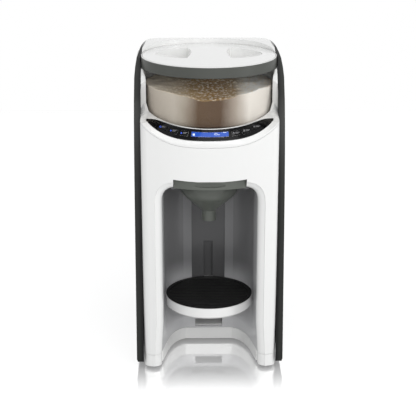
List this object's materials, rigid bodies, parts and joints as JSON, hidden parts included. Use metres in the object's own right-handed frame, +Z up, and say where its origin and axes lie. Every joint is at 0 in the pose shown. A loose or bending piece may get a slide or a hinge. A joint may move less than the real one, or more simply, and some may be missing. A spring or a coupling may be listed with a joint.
{
  "type": "baby formula maker",
  "caption": "slim countertop tower that doses milk powder from a round clear hopper and warm water from a rear tank through a funnel into a bottle standing on a height-adjustable tray",
  "frame": {"origin": "centre of the bounding box's base, on the counter under the middle of the body", "axes": "X to the right seen from the front, Y from the nook towards the rear tank, Z up; the front faces -Y"},
  "size_m": [0.185, 0.333, 0.3757],
  "materials": {
    "white": "smooth gloss",
    "charcoal": "fine satin",
    "grey_plastic": "smooth gloss",
    "rubber": "matte",
    "funnel_grey": "semi-gloss",
    "rim_grey": "satin",
    "gloss_black": "mirror gloss",
    "display_blue": "lit window, gloss",
    "clear_plastic": "clear, polished",
    "smoke_plastic": "smoke-tinted, clear, polished",
    "silicone": "soft matte",
    "steel": "brushed",
    "aluminium": "die-cast",
    "acetal": "natural, smooth",
    "circuit_board": "solder mask, satin"
  },
  "bodies": {
    "body": {"side_panel_left": "charcoal", "side_panel_right": "charcoal", "base_frame": "white", "bottom_plate": "grey_plastic", "foot_front_left": "rubber", "foot_front_right": "rubber", "foot_rear_left": "rubber", "foot_rear_right": "rubber", "front_shell": "white", "nook_liner": "grey_plastic", "lower_socket": "white", "tray_rail": "grey_plastic", "nook_ceiling": "white", "upper_housing": "white", "control_panel": "gloss_black", "display_lens": "display_blue", "control_board": "circuit_board", "hopper_deck": "acetal", "powder_chute": "acetal", "shaft_bush": "steel", "gearmotor": "steel", "deck_screw_1": "steel", "deck_screw_2": "steel", "deck_screw_3": "steel", "deck_screw_4": "steel", "back_panel": "charcoal", "main_board": "circuit_board", "heater": "aluminium", "pump": "charcoal", "hose_to_pump": "silicone", "hose_to_heater": "silicone", "hose_to_nozzle": "silicone", "water_nozzle": "acetal", "tank_socket": "acetal", "power_gland": "rubber"},
    "hopper": {"hopper_bowl": "clear_plastic"},
    "hopper_lid": {"lid_ring": "rim_grey", "lid_disc": "white", "lid_seal": "silicone"},
    "stirrer": {"stir_wheel": "acetal"},
    "drive": {"drive_shaft": "steel", "drive_gear": "acetal", "drive_coupling": "acetal"},
    "motor_pinion": {"pinion": "acetal"},
    "funnel_unit": {"funnel_holder": "funnel_grey", "funnel": "funnel_grey"},
    "tray": {"drip_tray": "white", "tray_mat": "rubber"},
    "key_1": {"button_1": "gloss_black"},
    "key_2": {"button_2": "gloss_black"},
    "key_3": {"button_3": "gloss_black"},
    "key_4": {"button_4": "gloss_black"},
    "key_5": {"button_5": "gloss_black"},
    "key_6": {"button_6": "gloss_black"},
    "tank": {"water_tank": "smoke_plastic", "tank_lid_pin": "steel", "tank_valve": "silicone"},
    "tank_cover": {"tank_lid": "white"},
    "plunger": {"valve_plunger": "acetal"}
  },
  "joints": [
    {"name": "hopper_lift", "type": "slide", "parent": "body", "child": "hopper", "axis": [0, 0, 1], "range_m": [0, 0.09]},
    {"name": "lid_lift", "type": "slide", "parent": "hopper", "child": "hopper_lid", "axis": [0, 0, 1], "range_m": [0, 0.06]},
    {"name": "drive_spin", "type": "hinge", "parent": "body", "child": "drive", "pos_m": [0, -0.081, 0.265], "axis": [0, 0, 1], "continuous": true},
    {"name": "stir_spin", "type": "hinge", "parent": "hopper", "child": "stirrer", "pos_m": [0, -0.081, 0.302], "axis": [0, 0, 1], "continuous": true},
    {"name": "pinion_spin", "type": "hinge", "parent": "body", "child": "motor_pinion", "pos_m": [0.01909, -0.06191, 0.265], "axis": [0, 0, 1], "continuous": true},
    {"name": "funnel_slide", "type": "slide", "parent": "body", "child": "funnel_unit", "axis": [0, -1, 0], "range_m": [0, 0.11]},
    {"name": "tray_height", "type": "slide", "parent": "body", "child": "tray", "axis": [0, 0, 1], "range_m": [0, 0.05]},
    {"name": "key_1_press", "type": "slide", "parent": "body", "child": "key_1", "axis": [0.3261, 0.425, -0.8444], "range_m": [0, 0.0005], "stiffness_N_per_m": 600, "springref_m": -0.0005},
    {"name": "key_2_press", "type": "slide", "parent": "body", "child": "key_2", "axis": [0.3904, 0.7043, -0.5929], "range_m": [0, 0.0005], "stiffness_N_per_m": 600, "springref_m": -0.0005},
    {"name": "key_3_press", "type": "slide", "parent": "body", "child": "key_3", "axis": [0.3205, 0.8571, -0.4033], "range_m": [0, 0.0005], "stiffness_N_per_m": 600, "springref_m": -0.0005},
    {"name": "key_4_press", "type": "slide", "parent": "body", "child": "key_4", "axis": [-0.3205, 0.8571, -0.4033], "range_m": [0, 0.0005], "stiffness_N_per_m": 600, "springref_m": -0.0005},
    {"name": "key_5_press", "type": "slide", "parent": "body", "child": "key_5", "axis": [-0.3904, 0.7043, -0.5929], "range_m": [0, 0.0005], "stiffness_N_per_m": 600, "springref_m": -0.0005},
    {"name": "key_6_press", "type": "slide", "parent": "body", "child": "key_6", "axis": [-0.3261, 0.425, -0.8444], "range_m": [0, 0.0005], "stiffness_N_per_m": 600, "springref_m": -0.0005},
    {"name": "tank_lift", "type": "slide", "parent": "body", "child": "tank", "axis": [0, 0, 1], "range_m": [0, 0.12]},
    {"name": "tank_lid_hinge", "type": "hinge", "parent": "tank", "child": "tank_cover", "pos_m": [0, 0.0707, 0.3337], "axis": [1, 0, 0], "range_deg": [0, 92]},
    {"name": "valve_travel", "type": "slide", "parent": "tank", "child": "plunger", "axis": [0, 0, 1], "range_m": [0, 0.0015], "stiffness_N_per_m": 150, "springref_m": -0.003}
  ],
  "couplings": [
    {"joint": "stir_spin", "follows": "drive_spin", "ratio": 1},
    {"joint": "pinion_spin", "follows": "drive_spin", "ratio": -2}
  ]
}
